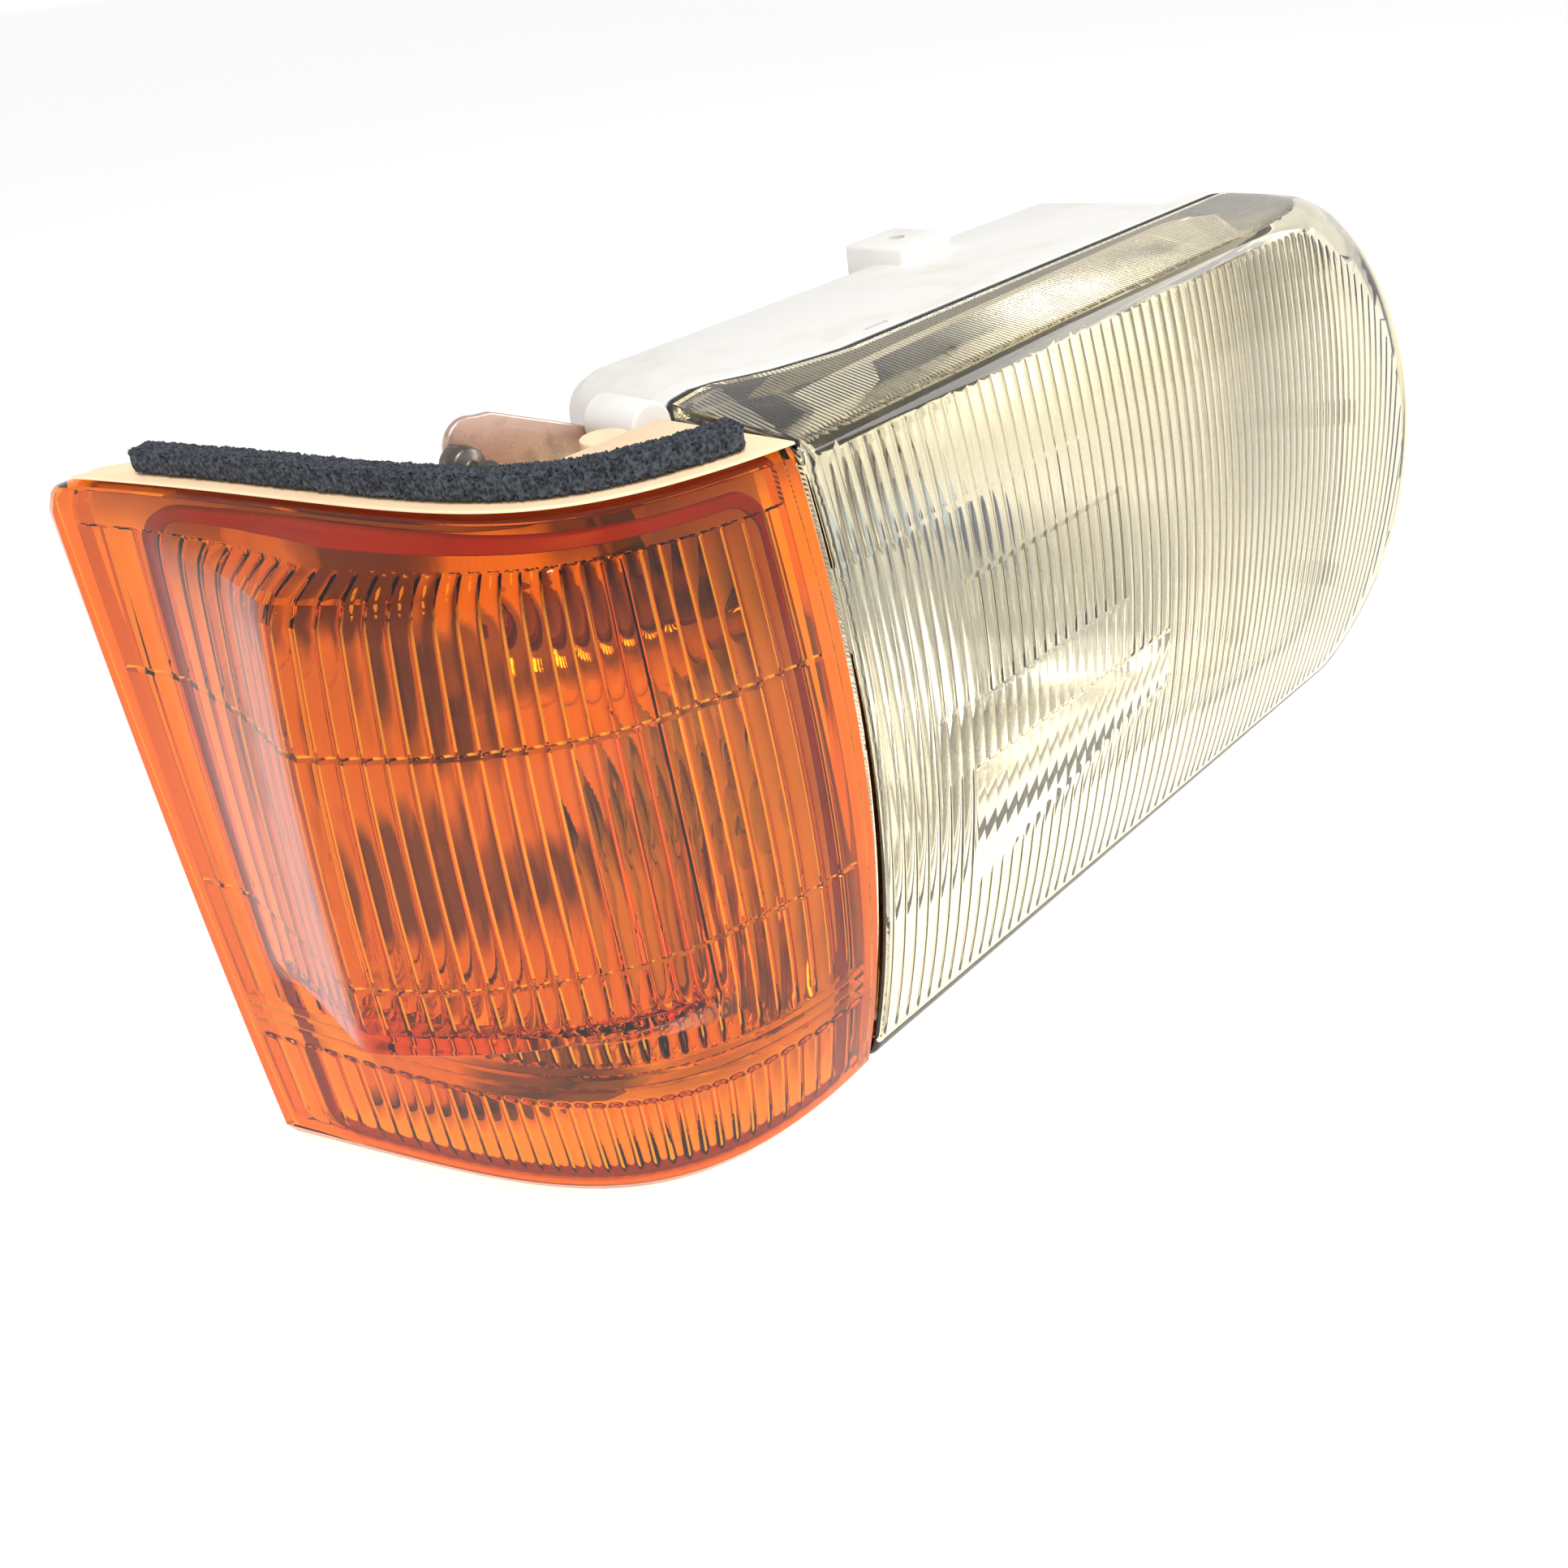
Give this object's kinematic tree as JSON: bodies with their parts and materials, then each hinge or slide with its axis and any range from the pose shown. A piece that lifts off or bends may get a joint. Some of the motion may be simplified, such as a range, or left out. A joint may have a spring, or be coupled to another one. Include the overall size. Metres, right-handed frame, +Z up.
{
  "type": "car headlight",
  "caption": "Rectangular glass car headlight with an adjustable reflector, sealed rear cap and a slide-off wrap-around amber corner lamp.",
  "frame": {"origin": "middle of the footprint, on the ground the lamp's lower edge rests on", "axes": "+X along the face towards the middle of the car (to the right of a viewer in front), +Y back into the car, +Z up"},
  "size_m": [0.3631, 0.1724, 0.1567],
  "materials": {
    "clear_glass": "clear, fluted inside",
    "amber_acrylic": "clear orange, glossy",
    "white_plastic": "moulded, satin",
    "cream_plastic": "moulded, satin",
    "black_rubber": "matt",
    "black_foam": "open-cell foam",
    "aluminised_plastic": "vacuum metallised",
    "plated_steel": "zinc plated",
    "bracket_steel": "pressed, bronze passivated",
    "white_nylon": "moulded nylon",
    "tungsten": "coiled wire"
  },
  "bodies": {
    "lamp_body": {"headlamp_lens": "clear_glass", "lens_seal": "black_rubber", "headlamp_housing": "white_plastic", "lens_clip_1": "plated_steel", "lens_clip_2": "plated_steel", "lens_clip_3": "plated_steel", "pivot_stud": "plated_steel", "vertical_bush": "white_nylon", "horizontal_bush": "white_nylon", "cap_seal": "black_rubber", "side_bracket": "bracket_steel", "ball_stud": "plated_steel", "bracket_screw_1": "plated_steel", "bracket_screw_2": "plated_steel", "vent_elbow": "black_rubber"},
    "pivot_link": {"pivot_cup": "white_nylon"},
    "reflector_unit": {"reflector": "aluminised_plastic", "vertical_nut": "white_nylon", "horizontal_nut": "white_nylon", "headlamp_bulb_glass": "clear_glass", "headlamp_bulb_base": "plated_steel", "bulb_shield": "plated_steel", "main_filament": "tungsten", "dipped_filament": "tungsten"},
    "vertical_screw": {"vertical_adjuster": "white_nylon"},
    "horizontal_screw": {"horizontal_adjuster": "white_nylon"},
    "clip": {"bulb_clip": "plated_steel"},
    "parking_light": {"parking_holder": "white_nylon", "parking_bulb": "clear_glass"},
    "cap": {"rear_cap": "white_plastic", "cable_gland": "black_rubber"},
    "corner_lamp": {"corner_lens": "amber_acrylic", "corner_housing": "cream_plastic", "corner_reflector": "aluminised_plastic", "foam_strip": "black_foam", "snap_fork": "white_nylon"},
    "corner_bulb_unit": {"corner_socket": "white_nylon", "socket_seal": "black_rubber", "corner_bulb_base": "plated_steel", "corner_bulb_glass": "clear_glass", "corner_filament": "tungsten", "corner_terminal_1": "plated_steel", "corner_terminal_2": "plated_steel"}
  },
  "joints": [
    {"name": "reflector_yaw", "type": "hinge", "parent": "lamp_body", "child": "pivot_link", "pos_m": [-0.03825, 0.0042, 0.124], "axis": [0, 0, 1], "range_deg": [-2.5, 2.5]},
    {"name": "reflector_pitch", "type": "hinge", "parent": "pivot_link", "child": "reflector_unit", "pos_m": [-0.03825, 0.0042, 0.124], "axis": [1, 0, 0], "range_deg": [-2.5, 2.5]},
    {"name": "vertical_adjuster_turn", "type": "hinge", "parent": "lamp_body", "child": "vertical_screw", "pos_m": [-0.03825, 0.0042, 0.049], "axis": [0, 1, 0], "range_deg": [-400, 400]},
    {"name": "horizontal_adjuster_turn", "type": "hinge", "parent": "lamp_body", "child": "horizontal_screw", "pos_m": [0.11375, 0.0042, 0.124], "axis": [0, 1, 0], "range_deg": [-800, 800]},
    {"name": "bulb_clip_swing", "type": "hinge", "parent": "reflector_unit", "child": "clip", "pos_m": [0.03975, 0.0367, 0.099], "axis": [1, 0, 0], "range_deg": [0, 60]},
    {"name": "parking_holder_turn", "type": "hinge", "parent": "reflector_unit", "child": "parking_light", "pos_m": [0.06375, 0.0242, 0.051], "axis": [0, 1, 0], "range_deg": [0, 60]},
    {"name": "rear_cap_turn", "type": "hinge", "parent": "lamp_body", "child": "cap", "pos_m": [0.03975, 0.0362, 0.075], "axis": [0, 1, 0], "range_deg": [0, 60]},
    {"name": "corner_lamp_slide", "type": "slide", "parent": "lamp_body", "child": "corner_lamp", "axis": [0, -1, 0], "range_m": [0, 0.05]},
    {"name": "corner_socket_turn", "type": "hinge", "parent": "corner_lamp", "child": "corner_bulb_unit", "pos_m": [-0.10425, -0.0318, 0.075], "axis": [0, 1, 0], "range_deg": [0, 45]}
  ],
  "couplings": [
    {"joint": "vertical_adjuster_turn", "follows": "reflector_pitch", "ratio": -157.08},
    {"joint": "horizontal_adjuster_turn", "follows": "reflector_yaw", "ratio": -318.35}
  ]
}
